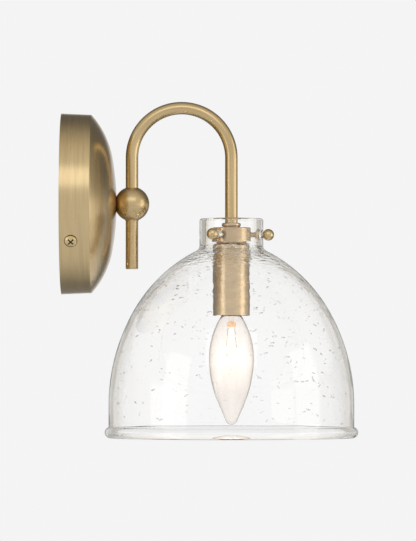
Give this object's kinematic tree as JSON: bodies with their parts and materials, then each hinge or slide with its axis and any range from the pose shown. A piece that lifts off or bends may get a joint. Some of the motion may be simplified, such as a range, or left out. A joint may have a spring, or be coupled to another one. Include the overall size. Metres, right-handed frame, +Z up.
{
  "type": "wall sconce",
  "caption": "Wall light: a domed brass canopy carries a ball and a bent arm, from which a clear seeded glass shade and a candle bulb hang mouth down.",
  "frame": {"origin": "centre of the canopy's back plane, on the wall, which is also the centre of the outlet box screw circle", "axes": "+X out of the wall, +Z up, the arm in the XZ plane"},
  "size_m": [0.208, 0.1776, 0.236],
  "materials": {
    "brass": "brushed, aged, satin lacquer",
    "brass_cup": "brushed, aged, satin lacquer",
    "brass_small": "turned, satin lacquer",
    "seeded_glass": "clear with seeds",
    "bulb_glass": "clear, thin",
    "zinc_steel": "zinc plated",
    "green_screw": "green",
    "nickel": "nickel plated",
    "solder": "dull solder",
    "filament": "glowing",
    "black_moulding": "moulded phenolic",
    "white_nylon": "natural nylon"
  },
  "bodies": {
    "lamp": {"mounting_strap": "zinc_steel", "ground_screw": "green_screw", "canopy": "brass", "canopy_screws": "brass_small", "canopy_nipple": "zinc_steel", "canopy_washer": "zinc_steel", "canopy_nut": "zinc_steel", "ball": "brass", "tail_rod": "brass", "arm_tube": "brass", "check_ring": "brass", "shade_hub": "brass", "glass_shade": "seeded_glass", "socket_cup": "brass_cup", "socket_bracket": "zinc_steel", "socket_nut": "zinc_steel", "bracket_screws": "zinc_steel", "terminal_screws": "brass_small", "socket_body": "black_moulding", "socket_shell": "nickel", "socket_contact": "nickel"},
    "bush_1": {"bush_1": "white_nylon"},
    "thumbscrew_1": {"thumbscrew_1": "brass_small"},
    "bush_2": {"bush_2": "white_nylon"},
    "thumbscrew_2": {"thumbscrew_2": "brass_small"},
    "bush_3": {"bush_3": "white_nylon"},
    "thumbscrew_3": {"thumbscrew_3": "brass_small"},
    "bulb": {"bulb_glass": "bulb_glass", "bulb_cap": "nickel", "bulb_insulator": "black_moulding", "bulb_contact": "solder", "bulb_stem": "bulb_glass", "bulb_leads": "nickel", "bulb_filament": "filament"}
  },
  "joints": [
    {"name": "bush_1_slide", "type": "slide", "parent": "lamp", "child": "bush_1", "axis": [1, 0, 0], "range_m": [0, 0.0049]},
    {"name": "thumbscrew_1_turn", "type": "hinge", "parent": "bush_1", "child": "thumbscrew_1", "pos_m": [0.11919, 0, -0.0216], "axis": [1, 0, 0], "range_deg": [0, 2520.1]},
    {"name": "bush_2_slide", "type": "slide", "parent": "lamp", "child": "bush_2", "axis": [-0.5, 0.866, 0], "range_m": [0, 0.0049]},
    {"name": "thumbscrew_2_turn", "type": "hinge", "parent": "bush_2", "child": "thumbscrew_2", "pos_m": [0.11919, 0, -0.0216], "axis": [-0.5, 0.866, 0], "range_deg": [0, 2520.1]},
    {"name": "bush_3_slide", "type": "slide", "parent": "lamp", "child": "bush_3", "axis": [-0.5, -0.866, 0], "range_m": [0, 0.0049]},
    {"name": "thumbscrew_3_turn", "type": "hinge", "parent": "bush_3", "child": "thumbscrew_3", "pos_m": [0.11919, 0, -0.0216], "axis": [-0.5, -0.866, 0], "range_deg": [0, 2520.1]},
    {"name": "bulb_turn", "type": "hinge", "parent": "lamp", "child": "bulb", "pos_m": [0.11919, 0, -0.0571], "axis": [0, 0, -1], "range_deg": [0, 1800]}
  ],
  "couplings": [
    {"joint": "thumbscrew_1_turn", "follows": "bush_1_slide", "rad_per_m": 8976},
    {"joint": "thumbscrew_2_turn", "follows": "bush_2_slide", "rad_per_m": 8976},
    {"joint": "thumbscrew_3_turn", "follows": "bush_3_slide", "rad_per_m": 8976}
  ]
}
